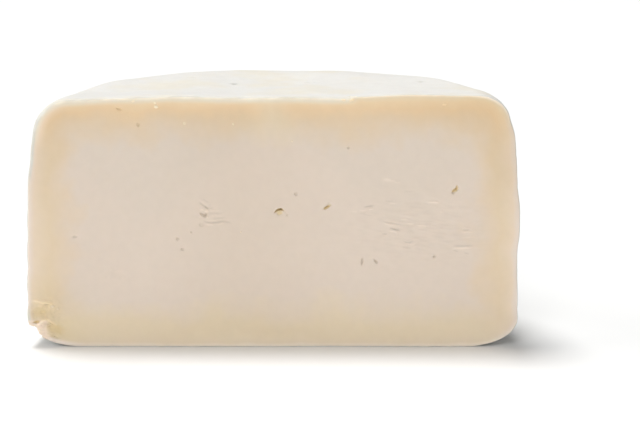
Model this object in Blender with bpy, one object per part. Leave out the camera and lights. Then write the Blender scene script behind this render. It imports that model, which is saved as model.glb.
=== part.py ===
"""Half a wheel of goat's cheese, cut down the middle with a long knife.

Metres, +Z up. The half stands on its flat base with the cut face towards -Y,
and the origin lies on that base, under the middle of the half.
"""

import math

import bmesh
import bpy
from mathutils import Euler, Matrix, Vector, noise

# The whole wheel, as it came out of its mould
RADIUS = 0.100
HEIGHT = 0.1032
BELLY_HEIGHT = 0.036
TOP_DRAFT = 0.0048
TOP_ROUND_OUT = 0.0135
TOP_ROUND_UP = 0.015
BASE_ROUND_OUT = 0.022
BASE_ROUND_UP = 0.012
CUT_Y = -RADIUS / 2

# How uneven the hand-pressed wheel is
TOP_SLOPE = 0.013
SIDE_SWELL = 0.0010
SIDE_SWELL_SIZE = 0.040
SIDE_SWELL_FROM = Vector((27.0, 15.0, 27.5))
TOP_SWELL = 0.0016
TOP_SWELL_SIZE = 0.038
TOP_SWELL_FROM = Vector((41.5, 37.0, 6.5))
LIP_OUT = 0.0012
LIP_HEIGHT = 0.0545
LIP_SPREAD = 0.009
LIP_DEPTH = 0.011

# The cut face, left slightly wavy by the knife
CUT_WAVE = 0.0005
CUT_WAVE_SIZE = 0.042
CUT_CELL = 0.0055
BLOCK_MARGIN = 0.012

# How finely the wheel is divided
TURN_STEPS = 116
ROUND_STEPS = 6
SIDE_STEPS = 13
TOP_RINGS = 6
SAME_POINT = 1e-6

# Openings in the paste: across, up, half width, half height, depth, slant in degrees
OPENINGS = (
    (0.0024, 0.0564, 0.0018, 0.0012, 0.0022, 16),
    (0.0219, 0.0582, 0.0016, 0.0008, 0.0020, 38),
    (0.0734, 0.0654, 0.0011, 0.0015, 0.0018, -24),
    (-0.0281, 0.0549, 0.0012, 0.0008, 0.0012, -30),
    (-0.0385, 0.0450, 0.0007, 0.0007, 0.0011, 0),
    (-0.0367, 0.0407, 0.0006, 0.0006, 0.0010, 20),
    (0.0094, 0.0635, 0.0006, 0.0006, 0.0010, 0),
    (0.0360, 0.0355, 0.0004, 0.0013, 0.0010, -6),
    (0.0414, 0.0355, 0.0005, 0.0011, 0.0010, 38),
    (0.0653, 0.0376, 0.0006, 0.0005, 0.0009, 0),
    (-0.0610, 0.0980, 0.0015, 0.0005, 0.0012, -14),
    (-0.0536, 0.0916, 0.0006, 0.0006, 0.0009, 0),
    (-0.0799, 0.0459, 0.0009, 0.0006, 0.0008, 10),
    (0.0305, 0.0823, 0.0006, 0.0005, 0.0008, 0),
)

# Creases torn by the knife: across, up, half length, half width, depth, slant in degrees
CREASES = (
    (-0.0286, 0.0594, 0.0036, 0.0005, 0.0008, -32),
    (-0.0248, 0.0523, 0.0048, 0.0005, 0.0008, -3),
    (0.0374, 0.0582, 0.0024, 0.0004, 0.0006, 20),
    (0.0476, 0.0492, 0.0025, 0.0004, 0.0006, -20),
)

# Bites out of the top edge: across, above the true top, half length, depth down, depth back
EDGE_BITES = (
    (-0.0084, 0.0006, 0.0062, 0.0024, 0.0034),
    (0.0215, 0.0008, 0.0052, 0.0020, 0.0028),
    (0.0293, 0.0008, 0.0050, 0.0026, 0.0030),
)

# The crumbled lower left corner, as hollows: place from the cut plane, half sizes, turn
CORNER_HOLLOWS = (
    ((-0.0946, 0.0002, 0.0151), (0.0052, 0.0019, 0.0034), (0, 0, -6)),
    ((-0.0972, 0.0000, 0.0110), (0.0028, 0.0026, 0.0008), (0, 12, 0)),
    ((-0.0896, 0.0001, 0.0066), (0.0034, 0.0019, 0.0021), (0, 15, 10)),
    ((-0.1013, 0.0030, 0.0044), (0.0056, 0.0110, 0.0053), (0, 10, 6)),
    ((-0.0972, 0.0010, 0.0089), (0.0016, 0.0030, 0.0010), (0, 30, 0)),
    ((-0.0943, 0.0010, 0.0046), (0.0012, 0.0026, 0.0011), (0, 40, 0)),
)

# What hangs on there: place from the cut plane, half sizes, turn
CORNER_CHUNKS = (
    ((-0.0940, -0.0001, 0.0186), (0.0041, 0.0007, 0.0005), (0, 11, 0)),
    ((-0.0927, 0.0010, 0.0093), (0.0036, 0.0016, 0.0015), (0, 18, 0)),
    ((-0.0898, 0.0009, 0.0040), (0.0035, 0.0013, 0.0010), (0, 14, 0)),
)
LUMP_ROUGHNESS = 0.5
LUMP_GRAIN = 1.6
FINE_LUMP = 2
COARSE_LUMP = 3

# Finish
PASTE_COLOUR = (0.72, 0.61, 0.51, 1.0)
PASTE_ROUGHNESS = 0.55
SHARP_ANGLE = 40


def clear_scene():
    """Removes what a new file starts with."""
    for item in list(bpy.data.objects):
        bpy.data.objects.remove(item, do_unlink=True)


def side_radius(height):
    """The wheel's radius at a height: straight up to the belly, then drawn in."""
    above = max(0.0, height - BELLY_HEIGHT) / (HEIGHT - BELLY_HEIGHT)
    return RADIUS - TOP_DRAFT * above**2


def wheel_profile():
    """Points (radius, height) from the middle of the base round to the middle of the top."""
    points = [(0.0, 0.0)]
    for step in range(ROUND_STEPS + 1):
        turn = math.pi / 2 * step / ROUND_STEPS
        radius = RADIUS - BASE_ROUND_OUT * (1 - math.sin(turn))
        points.append((radius, BASE_ROUND_UP * (1 - math.cos(turn))))
    side_top = HEIGHT - TOP_ROUND_UP
    for step in range(1, SIDE_STEPS):
        height = BASE_ROUND_UP + (side_top - BASE_ROUND_UP) * step / SIDE_STEPS
        points.append((side_radius(height), height))
    for step in range(ROUND_STEPS + 1):
        turn = math.pi / 2 * step / ROUND_STEPS
        height = side_top + TOP_ROUND_UP * math.sin(turn)
        points.append((side_radius(height) - TOP_ROUND_OUT * (1 - math.cos(turn)), height))
    rim = points[-1][0]
    for ring in range(1, TOP_RINGS + 1):
        points.append((rim * (1 - ring / TOP_RINGS), HEIGHT))
    return points


def pressed(point):
    """Where a point of the true wheel lies on this hand-pressed one."""
    spot = Vector(point)
    lift = spot.z / HEIGHT
    out = Vector((spot.x, spot.y - CUT_Y, 0.0))
    reach = out.length / RADIUS
    swell = SIDE_SWELL * noise.noise(spot / SIDE_SWELL_SIZE + SIDE_SWELL_FROM)
    if spot.x > 0:
        behind = (spot.y - CUT_Y) / LIP_DEPTH
        above = (spot.z - LIP_HEIGHT) / LIP_SPREAD
        swell += LIP_OUT * math.exp(-(behind**2) - above**2)
    rise = TOP_SLOPE * spot.x + TOP_SWELL * noise.noise(spot / TOP_SWELL_SIZE + TOP_SWELL_FROM)
    if out.length > 0:
        spot += out.normalized() * (swell * reach)
    spot.z += lift * rise
    return spot


def new_object(name, shape):
    """Makes an object of a bmesh, with its faces pointing out."""
    bmesh.ops.recalc_face_normals(shape, faces=shape.faces)
    mesh = bpy.data.meshes.new(name)
    shape.to_mesh(mesh)
    shape.free()
    item = bpy.data.objects.new(name, mesh)
    bpy.context.scene.collection.objects.link(item)
    return item


def turned_wheel():
    """The whole wheel: its profile turned once round the axis, then pressed out of true."""
    shape = bmesh.new()
    ring = [shape.verts.new((radius, CUT_Y, height)) for radius, height in wheel_profile()]
    edges = [shape.edges.new(pair) for pair in zip(ring, ring[1:])]
    bmesh.ops.spin(
        shape, geom=ring + edges, cent=(0, CUT_Y, 0), axis=(0, 0, 1), angle=math.tau, steps=TURN_STEPS
    )
    bmesh.ops.remove_doubles(shape, verts=shape.verts, dist=SAME_POINT)
    for vert in shape.verts:
        vert.co = pressed(vert.co)
    return new_object("cheese_half", shape)


def guide(item):
    """Marks an object as a cutter or a filler, which is no part of the cheese."""
    item.hide_render = True
    item.display_type = "WIRE"
    return item


def half_block():
    """The block that keeps the rear half: its front is the wavy face that the knife left."""
    shape = bmesh.new()
    width = 2 * (RADIUS + BLOCK_MARGIN)
    height = HEIGHT + 2 * BLOCK_MARGIN
    columns = round(width / CUT_CELL)
    rows = round(height / CUT_CELL)
    bmesh.ops.create_grid(shape, x_segments=columns, y_segments=rows, size=0.5)
    for vert in shape.verts:
        across = vert.co.x * width
        up = vert.co.y * height + HEIGHT / 2
        wave = CUT_WAVE * noise.noise(Vector((across, 0.0, up)) / CUT_WAVE_SIZE)
        vert.co = Vector((across, CUT_Y + wave, up))
    rear = bmesh.ops.extrude_face_region(shape, geom=shape.faces[:])
    for item in rear["geom"]:
        if isinstance(item, bmesh.types.BMVert):
            item.co.y = CUT_Y + RADIUS + BLOCK_MARGIN
    return guide(new_object("half_block", shape))


def add_lump(shape, place, half_sizes, turn, detail):
    """Adds an uneven closed lump: a ball roughened, drawn out to its sizes, turned and placed.

    A lump's detail is the number of times that its faces are divided.
    """
    made = bmesh.ops.create_icosphere(shape, subdivisions=detail, radius=1.0)
    turned = Euler([math.radians(angle) for angle in turn]).to_matrix().to_4x4()
    placed = Matrix.Translation(place) @ turned @ Matrix.Diagonal((*half_sizes, 1.0))
    seed = Vector(place) / CUT_CELL
    for vert in made["verts"]:
        uneven = 1 + LUMP_ROUGHNESS * noise.noise(vert.co * LUMP_GRAIN + seed)
        vert.co = placed @ (vert.co * uneven)


def torn_openings():
    """The holes and creases of the cut face."""
    shape = bmesh.new()
    for across, up, half_width, half_height, depth, slant in OPENINGS + CREASES:
        sizes = (half_width, depth, half_height)
        add_lump(shape, (across, CUT_Y, up), sizes, (0, -slant, 0), FINE_LUMP)
    return guide(new_object("torn_openings", shape))


def edge_bites():
    """Where the knife broke crumbs out of the top edge."""
    shape = bmesh.new()
    for across, above, half_length, down, back in EDGE_BITES:
        place = (across, CUT_Y, HEIGHT + above + TOP_SLOPE * across)
        add_lump(shape, place, (half_length, back, down), (0, 0, 0), COARSE_LUMP)
    return guide(new_object("edge_bites", shape))


def corner_lumps(name, lumps):
    """Hollows or chunks of the crumbled corner."""
    shape = bmesh.new()
    for (across, behind, up), half_sizes, turn in lumps:
        add_lump(shape, (across, CUT_Y + behind, up), half_sizes, turn, COARSE_LUMP)
    return guide(new_object(name, shape))


def combine(item, other, operation):
    """Cuts or joins one shape by another, as a modifier named after it."""
    step = item.modifiers.new(other.name, "BOOLEAN")
    step.operation = operation
    step.solver = "EXACT"
    step.use_self = True
    step.object = other


def paste_material():
    """The pale, close paste."""
    material = bpy.data.materials.new("goat cheese paste")
    material.use_nodes = True
    finish = material.node_tree.nodes["Principled BSDF"]
    finish.inputs["Base Color"].default_value = PASTE_COLOUR
    finish.inputs["Roughness"].default_value = PASTE_ROUGHNESS
    finish.inputs["Metallic"].default_value = 0.0
    return material


clear_scene()
cheese = turned_wheel()
combine(cheese, half_block(), "INTERSECT")
combine(cheese, corner_lumps("corner_hollows", CORNER_HOLLOWS), "DIFFERENCE")
combine(cheese, corner_lumps("corner_chunks", CORNER_CHUNKS), "UNION")
combine(cheese, edge_bites(), "DIFFERENCE")
combine(cheese, torn_openings(), "DIFFERENCE")
cheese.data.materials.append(paste_material())
cheese.data.shade_smooth()
cheese.data.set_sharp_from_angle(angle=math.radians(SHARP_ANGLE))
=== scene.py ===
import math

import bmesh
import bpy
import numpy as np
from mathutils import Euler, Matrix, Vector, noise


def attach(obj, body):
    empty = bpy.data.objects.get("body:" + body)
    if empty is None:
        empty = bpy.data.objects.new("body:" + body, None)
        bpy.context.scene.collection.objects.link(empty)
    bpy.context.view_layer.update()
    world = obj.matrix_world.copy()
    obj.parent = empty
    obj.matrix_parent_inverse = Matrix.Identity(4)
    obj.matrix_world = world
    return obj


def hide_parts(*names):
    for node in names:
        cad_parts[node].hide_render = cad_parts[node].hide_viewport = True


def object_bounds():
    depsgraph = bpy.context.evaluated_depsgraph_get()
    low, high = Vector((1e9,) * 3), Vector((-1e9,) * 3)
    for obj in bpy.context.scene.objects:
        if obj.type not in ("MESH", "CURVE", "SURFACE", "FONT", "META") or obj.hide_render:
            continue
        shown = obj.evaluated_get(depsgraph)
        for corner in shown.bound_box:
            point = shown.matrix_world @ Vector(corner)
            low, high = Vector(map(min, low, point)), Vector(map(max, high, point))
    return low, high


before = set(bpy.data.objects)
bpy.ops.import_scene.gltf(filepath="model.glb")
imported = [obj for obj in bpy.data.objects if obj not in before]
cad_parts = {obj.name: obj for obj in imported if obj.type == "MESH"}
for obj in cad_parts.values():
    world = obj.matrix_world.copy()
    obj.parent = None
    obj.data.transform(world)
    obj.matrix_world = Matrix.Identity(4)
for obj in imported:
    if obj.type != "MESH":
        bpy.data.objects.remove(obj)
cad_low, cad_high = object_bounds()

# The wheel. Goat's milk curd, pressed in a round mould and aged until it has a thin, smooth
# rind. Its side is turned from the mould's profile, its top and base are filled in, the front
# half is taken away, and the cut is closed with a fine net of faces.
RADIUS = 0.100
HEIGHT = 0.1032
BELLY_HEIGHT = 0.036
TOP_DRAFT = 0.0048
TOP_ROUND_OUT = 0.0135
TOP_ROUND_UP = 0.015
BASE_ROUND_OUT = 0.022
BASE_ROUND_UP = 0.012
CUT_Y = -RADIUS / 2
TURN_STEPS = 360
ROUND_STEPS = 18
SIDE_STEPS = 52
SAME_POINT = 1e-6
EDGE_START = 0.0003
EDGE_STEPS = 2
FINE_BEHIND = 0.0040
RIND = 0
PASTE = 1


def begin(item):
    """Selects one object alone and opens it for editing."""
    bpy.ops.object.select_all(action="DESELECT")
    item.select_set(True)
    bpy.context.view_layer.objects.active = item
    bpy.ops.object.mode_set(mode="EDIT")


def done():
    """Closes the object that is being edited."""
    bpy.ops.object.mode_set(mode="OBJECT")


def pick(kind, wanted):
    """Selects just the verts, edges or faces that are wanted, in the object being edited."""
    bpy.ops.mesh.select_mode(type=kind)
    bpy.ops.mesh.select_all(action="DESELECT")
    mesh = bpy.context.object.data
    shape = bmesh.from_edit_mesh(mesh)
    parts = {"VERT": shape.verts, "EDGE": shape.edges, "FACE": shape.faces}[kind]
    for part in parts:
        if wanted(part):
            part.select_set(True)
    shape.select_flush_mode()
    bmesh.update_edit_mesh(mesh, loop_triangles=False, destructive=False)


def side_radius(height):
    """The wheel's radius at a height: straight up to the belly, then drawn in."""
    above = max(0.0, height - BELLY_HEIGHT) / (HEIGHT - BELLY_HEIGHT)
    return RADIUS - TOP_DRAFT * above**2


def mould_profile():
    """Points (radius, height) up the side of the mould, from the rim of the base to that of the top."""
    points = []
    for step in range(ROUND_STEPS + 1):
        turn = math.pi / 2 * step / ROUND_STEPS
        radius = RADIUS - BASE_ROUND_OUT * (1 - math.sin(turn))
        points.append((radius, BASE_ROUND_UP * (1 - math.cos(turn))))
    side_top = HEIGHT - TOP_ROUND_UP
    for step in range(1, SIDE_STEPS):
        height = BASE_ROUND_UP + (side_top - BASE_ROUND_UP) * step / SIDE_STEPS
        points.append((side_radius(height), height))
    for step in range(ROUND_STEPS + 1):
        turn = math.pi / 2 * step / ROUND_STEPS
        height = side_top + TOP_ROUND_UP * math.sin(turn)
        points.append((side_radius(height) - TOP_ROUND_OUT * (1 - math.cos(turn)), height))
    return points


def turned_side(profile):
    """The side of the wheel: the profile turned once round the axis."""
    bpy.ops.object.select_all(action="DESELECT")
    bpy.ops.mesh.primitive_circle_add(vertices=len(profile), radius=RADIUS)
    item = bpy.context.object
    for vert, (radius, height) in zip(item.data.vertices, profile):
        vert.co = (radius, CUT_Y, height)
    begin(item)
    last = len(profile) - 1
    pick("EDGE", lambda edge: {vert.index for vert in edge.verts} == {0, last})
    bpy.ops.mesh.delete(type="EDGE")
    bpy.ops.mesh.select_all(action="SELECT")
    bpy.ops.mesh.spin(steps=TURN_STEPS, angle=math.tau, center=(0, CUT_Y, 0), axis=(0, 0, 1))
    bpy.ops.mesh.select_all(action="SELECT")
    bpy.ops.mesh.remove_doubles(threshold=SAME_POINT)
    done()
    return item


def on_rim(edge, height):
    """Whether an edge is on the front or rear quarter of the rim at a height."""
    middle = (edge.verts[0].co + edge.verts[1].co) / 2
    level = all(abs(vert.co.z - height) < SAME_POINT for vert in edge.verts)
    return level and edge.is_boundary and abs(middle.y - CUT_Y) > abs(middle.x)


def on_cut_ends(edge, base_corner, top_corner):
    """Whether an edge of the open cut is above the top corners or below the base ones."""
    heights = [vert.co.z for vert in edge.verts]
    above = min(heights) > top_corner - SAME_POINT
    below = max(heights) < base_corner + SAME_POINT
    return edge.is_boundary and (above or below)


def on_cut(part):
    """Whether all of an edge or a face lies in the cut."""
    return all(abs(vert.co.y - CUT_Y) < SAME_POINT for vert in part.verts)


def round_the_cut(edge):
    """Whether an edge is the one round the cut face."""
    return on_cut(edge) and sum(on_cut(face) for face in edge.link_faces) == 1


def near_cut(face):
    """Whether a face is the cut's or just behind it."""
    return all(vert.co.y < CUT_Y + FINE_BEHIND for vert in face.verts)


profile = mould_profile()
base_corner = profile[ROUND_STEPS // 2][1]
top_corner = profile[-1 - ROUND_STEPS // 2][1]
cheese = turned_side(profile)
cheese.name = "cheese_half_wheel"
for name in ("goat cheese rind", "goat cheese paste"):
    cheese.data.materials.append(bpy.data.materials.new(name))
begin(cheese)
for rim_height in (0.0, HEIGHT):
    pick("EDGE", lambda edge: on_rim(edge, rim_height))
    bpy.ops.mesh.fill_grid(use_interp_simple=True)
bpy.ops.mesh.select_all(action="SELECT")
bpy.ops.mesh.normals_make_consistent(inside=False)
pick("VERT", lambda vert: vert.co.y < CUT_Y - SAME_POINT)
bpy.ops.mesh.delete(type="VERT")
pick("EDGE", lambda edge: on_cut_ends(edge, base_corner, top_corner))
bpy.ops.mesh.fill_grid(use_interp_simple=True)
pick("FACE", on_cut)
cheese.active_material_index = PASTE
bpy.ops.object.material_slot_assign()
pick("FACE", near_cut)
bpy.ops.mesh.subdivide(number_cuts=1)
pick("EDGE", round_the_cut)
bpy.ops.mesh.bevel(offset=EDGE_START, segments=EDGE_STEPS, profile=0.5, affect="EDGES")
bpy.ops.mesh.select_all(action="SELECT")
bpy.ops.mesh.normals_make_consistent(inside=False)
done()


# The pressing and the knife. A hand-filled mould leaves the wheel a little out of true. The long
# knife leaves the cut gently wavy, and its edge soft and crumbly: broad along the top, where it
# is dry, finer down the sides and tight along the base.
TOP_SLOPE = 0.013
SIDE_SWELL = 0.0010
SIDE_SWELL_SIZE = 0.040
SIDE_SWELL_FROM = Vector((27.0, 15.0, 27.5))
TOP_SWELL = 0.0016
TOP_SWELL_SIZE = 0.038
TOP_SWELL_FROM = Vector((41.5, 37.0, 6.5))
FLAT_TOPPED = 4
# The lows and highs of the top: across, back, half width, half depth and height.
TOP_LIFTS = (
    (-0.0685, -0.050, 0.014, 0.020, 0.0006),
    (-0.0170, -0.050, 0.014, 0.020, -0.0002),
    (0.0470, -0.050, 0.022, 0.020, -0.0005),
    (-0.0720, -0.004, 0.018, 0.018, 0.0012),
    (-0.0160, 0.031, 0.012, 0.012, 0.0006),
    (0.0170, 0.031, 0.010, 0.010, -0.0003),
    (0.0885, -0.036, 0.008, 0.012, 0.0004),
)
# Those of the left (-1) and right (1) side at the cut: side, height up, half height and bulge.
SIDE_LIFTS = (
    (-1, 0.0880, 0.0055, -0.00060),
    (-1, 0.0780, 0.0050, -0.00045),
    (-1, 0.0590, 0.0060, -0.00035),
    (-1, 0.0460, 0.0060, -0.00055),
    (-1, 0.0340, 0.0050, -0.00060),
    (-1, 0.0210, 0.0040, -0.00030),
    (-1, 0.0135, 0.0025, 0.00025),
    (1, 0.1000, 0.0040, 0.00080),
    (1, 0.0915, 0.0035, -0.00070),
    (1, 0.0430, 0.0220, -0.00060),
)
SIDE_LIFT_DEPTH = 0.020
# The bulge low on the right.
LIP_OUT = 0.00095
LIP_HEIGHT = 0.0522
LIP_SPREAD = 0.010
LIP_DEPTH = 0.011
# The knife's waves, the rounding of the edge, and how it has crumbled.
CUT_WAVE = 0.0005
CUT_WAVE_SIZE = 0.042
CUT_FADE = 0.004
TOP_EDGE = 0.0021
TOP_EDGE_RIGHT = 0.0009
TOP_EDGE_TIGHTENS = (0.0290, 0.0345)
TOP_EDGE_FROM = (0.080, 0.098)
SIDE_EDGE = 0.0010
BASE_EDGE = 0.0004
BASE_EDGE_FROM = (0.016, 0.004)
EDGE_UNEVEN = 0.5
EDGE_UNEVEN_SIZE = 0.006
EDGE_REACH = 0.0013
FLAT_BASE = (0.0005, 0.004)
# The crumbling and the dents, coarse and fine: size and height.
EDGE_CRUMBLE = ((0.0034, 0.00022), (0.0014, 0.00014))
RIND_DENTS = ((0.013, 0.00020), (0.0046, 0.00009))
DENT_INWARD = 0.5


def smooth_step(value, start, end):
    """0 at the start, 1 at the end, and smooth between them."""
    share = np.clip((value - start) / (end - start), 0, 1)
    return share * share * (3 - 2 * share)


def noise_at(points, size):
    """Smooth unevenness of a given size, at each of many points, from about -1 to 1."""
    return np.array([noise.noise(Vector(point) / size) for point in points])


def coordinates(mesh):
    """All vertex places of a mesh, as rows."""
    flat = np.empty(3 * len(mesh.vertices))
    mesh.vertices.foreach_get("co", flat)
    return flat.reshape(-1, 3)


def put_back(mesh, points):
    """Gives all vertices of a mesh their new places."""
    mesh.vertices.foreach_set("co", points.astype(np.float32).ravel())
    mesh.update()


def below_skin(points):
    """How deep each point of the true wheel lies below its skin, and which way leads further in."""
    outline = np.array([(0.0, 0.0), *profile, (0.0, HEIGHT)])
    aside = points[:, 1] - CUT_Y
    reach = np.hypot(points[:, 0], aside)
    spots = np.stack([reach, points[:, 2]], axis=1)
    depths = np.full(len(points), RADIUS)
    inward = np.zeros((len(points), 2))
    for start, step in zip(outline[:-1], np.diff(outline, axis=0)):
        along = np.clip((spots - start) @ step / (step @ step), 0, 1)
        gaps = spots - start - along[:, None] * step
        far = np.hypot(gaps[:, 0], gaps[:, 1])
        nearer = far < depths
        depths[nearer] = far[nearer]
        inward[nearer] = np.array((-step[1], step[0])) / np.hypot(*step)
    out = np.stack([points[:, 0], aside], axis=1) / np.maximum(reach, SAME_POINT)[:, None]
    return depths, np.concatenate([out * inward[:, :1], inward[:, 1:]], axis=1)


def edge_radii(points):
    """How widely the edge of the cut is rounded off near each point."""
    tightens = smooth_step(points[:, 0], *TOP_EDGE_TIGHTENS)
    top = TOP_EDGE + (TOP_EDGE_RIGHT - TOP_EDGE) * tightens
    high = smooth_step(points[:, 2], *TOP_EDGE_FROM)
    low = smooth_step(points[:, 2], *BASE_EDGE_FROM)
    even = SIDE_EDGE + (top - SIDE_EDGE) * high + (BASE_EDGE - SIDE_EDGE) * low
    return even * (1 + EDGE_UNEVEN * noise_at(points, EDGE_UNEVEN_SIZE))


def round_off(points, behind, depths, inward):
    """Pulls the points near the edge of the cut onto an arc between the cut and the skin."""
    widest = TOP_EDGE * (1 + EDGE_UNEVEN)
    near = np.flatnonzero((behind < widest) & (depths < widest))
    radii = edge_radii(points[near])
    back = np.maximum(radii - behind[near], 0)
    down = np.maximum(radii - depths[near], 0)
    pull = 1 - np.minimum(radii / np.maximum(np.hypot(back, down), SAME_POINT), 1)
    points[near, 1] += pull * back
    points[near] += (pull * down)[:, None] * inward[near]


def pressed(point):
    """Where a point of the true wheel lies on this hand-pressed one."""
    spot = Vector(point)
    behind = spot.y - CUT_Y
    lift = spot.z / HEIGHT
    out = Vector((spot.x, behind, 0.0))
    reach = out.length / RADIUS
    swell = SIDE_SWELL * noise.noise(spot / SIDE_SWELL_SIZE + SIDE_SWELL_FROM)
    if spot.x > 0:
        above = (spot.z - LIP_HEIGHT) / LIP_SPREAD
        swell += LIP_OUT * math.exp(-((behind / LIP_DEPTH) ** 2) - above**FLAT_TOPPED)
    for side, up, spread, height in SIDE_LIFTS:
        if side * spot.x > 0:
            away = ((spot.z - up) / spread) ** 2 + (behind / SIDE_LIFT_DEPTH) ** 2
            swell += height * math.exp(-away)
    rise = TOP_SLOPE * spot.x + TOP_SWELL * noise.noise(spot / TOP_SWELL_SIZE + TOP_SWELL_FROM)
    for across, back, half_width, half_depth, height in TOP_LIFTS:
        away = ((spot.x - across) / half_width) ** 2 + ((spot.y - back) / half_depth) ** 2
        rise += height * math.exp(-away)
    if out.length > 0:
        spot += out.normalized() * (swell * reach)
    spot.z += lift * rise
    return spot


def press_and_cut(mesh):
    """Moves the true half wheel's points to where the mould, the press and the knife left them."""
    points = coordinates(mesh)
    depths, inward = below_skin(points)
    behind = points[:, 1] - CUT_Y
    round_off(points, behind, depths, inward)
    points = np.array([pressed(point) for point in points])
    wave = CUT_WAVE * noise_at(points * (1, 0, 1), CUT_WAVE_SIZE)
    points[:, 1] += wave * np.exp(-((behind / CUT_FADE) ** 2))
    put_back(mesh, points)
    normals = np.array([vert.normal for vert in mesh.vertices])
    dents = sum(height * (noise_at(points, size) - DENT_INWARD) for size, height in RIND_DENTS)
    dents *= smooth_step(behind, 0, FINE_BEHIND) * smooth_step(points[:, 2], *FLAT_BASE)
    crumble = sum(height * np.maximum(noise_at(points, size), 0) for size, height in EDGE_CRUMBLE)
    crumble *= np.exp(-((np.maximum(behind, depths) / EDGE_REACH) ** 2))
    put_back(mesh, points + normals * (dents - crumble)[:, None])


press_and_cut(cheese.data)


# The broken places. The knife's pull bit two shallow nicks out of the top edge, and the lower left
# corner has crumbled away, with flakes still hanging there. Each nick and hollow is a rough lump
# cut out of the cheese, and each flake is one joined to it.
LUMP_ROUGHNESS = 0.5
LUMP_GRAIN = 1.6
LUMP_SEED = 0.0055
LUMP_FINE = ((5.0, 0.16), (11.0, 0.07))
LUMP_DETAIL = 4
# Each nick: across, height above the top, half length, half depth down and half depth back.
EDGE_BITES = (
    (0.0225, 0.0008, 0.0046, 0.0018, 0.0023),
    (0.0291, 0.0008, 0.0054, 0.0021, 0.0026),
)
# Each hollow and flake: its place (across, behind the cut, up), half sizes and turn in degrees.
CORNER_HOLLOWS = (
    ((-0.1013, 0.0030, 0.0041), (0.0056, 0.0110, 0.0051), (0, 10, 6)),
    ((-0.0951, 0.0009, 0.0045), (0.0008, 0.0022, 0.0007), (0, 38, 0)),
)
CORNER_FLAKES = (
    ((-0.0927, 0.0012, 0.0093), (0.0036, 0.0015, 0.0015), (0, 18, 0)),
    ((-0.0898, 0.0010, 0.0040), (0.0035, 0.0012, 0.0010), (0, 14, 0)),
)


def rough_lump(place, half_sizes, turn, detail):
    """One uneven closed lump: a ball roughened, drawn out to its sizes, turned and placed."""
    bpy.ops.object.select_all(action="DESELECT")
    bpy.ops.mesh.primitive_ico_sphere_add(subdivisions=detail, radius=1.0)
    lump = bpy.context.object
    turned = Euler([math.radians(angle) for angle in turn]).to_matrix().to_4x4()
    placed = Matrix.Translation(place) @ turned @ Matrix.Diagonal((*half_sizes, 1.0))
    seed = Vector(place) / LUMP_SEED
    for vert in lump.data.vertices:
        uneven = 1 + LUMP_ROUGHNESS * noise.noise(vert.co * LUMP_GRAIN + seed)
        uneven += sum(height * noise.noise(vert.co * grain + seed) for grain, height in LUMP_FINE)
        vert.co = placed @ (vert.co * uneven)
    for slot in cheese.data.materials:
        lump.data.materials.append(slot)
    for face in lump.data.polygons:
        face.material_index = PASTE
    return lump


def combine(item, other, operation):
    """Cuts one shape out of another, or joins it on, for good."""
    bpy.ops.object.select_all(action="DESELECT")
    item.select_set(True)
    bpy.context.view_layer.objects.active = item
    step = item.modifiers.new("lumps", "BOOLEAN")
    step.operation = operation
    step.solver = "MANIFOLD"
    step.object = other
    bpy.ops.object.modifier_apply(modifier=step.name)
    bpy.data.objects.remove(other, do_unlink=True)


hollows = []
for across, above, half_length, down, back in EDGE_BITES:
    place = (across, CUT_Y, HEIGHT + above + TOP_SLOPE * across)
    hollows.append(rough_lump(place, (half_length, back, down), (0, 0, 0), LUMP_DETAIL))
for (across, behind, up), half_sizes, turn in CORNER_HOLLOWS:
    hollows.append(rough_lump((across, CUT_Y + behind, up), half_sizes, turn, LUMP_DETAIL))
flakes = []
for (across, behind, up), half_sizes, turn in CORNER_FLAKES:
    flakes.append(rough_lump((across, CUT_Y + behind, up), half_sizes, turn, LUMP_DETAIL))
for lumps, operation in ((hollows, "DIFFERENCE"), (flakes, "UNION")):
    for lump in lumps[1:]:
        combine(lumps[0], lump, "UNION")
    combine(cheese, lumps[0], operation)


# The holes and the marks. Small eyes where gas or whey was held, slits and creases where the curd
# never closed, and fine ridges where the knife dragged. The net of faces is made finer there, and
# its points are pushed in or drawn out. Where they lie is kept for the colours: painted shade in
# the holes and creases, painted highlight on the ridges.
PINHOLE_REACH = 1.6
PINHOLE_SHADE_REACH = 3
PINHOLE_STEEPNESS = 4
PIT_MARGIN = 0.0008
PIT_STEEPNESS = 6
WIDE_PIT_STEEPNESS = 3
PIT_UNEVEN = 0.30
WIDE_PIT = 0.0025
# The pit depth at which the painted grey shade in a pit is full.
PIT_SHADE_DEPTH = 0.0012
SMALL_FACE = 6e-8
# The fold height that gives the full painted highlight on a ridge or painted shade in a crease.
FULL_FOLD = 0.00025
FOLD_WOBBLE = 0.5
WOBBLE_SIZE = 0.0016
MARK_REACH = 0.0016
MOST_HALVINGS = 2
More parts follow.
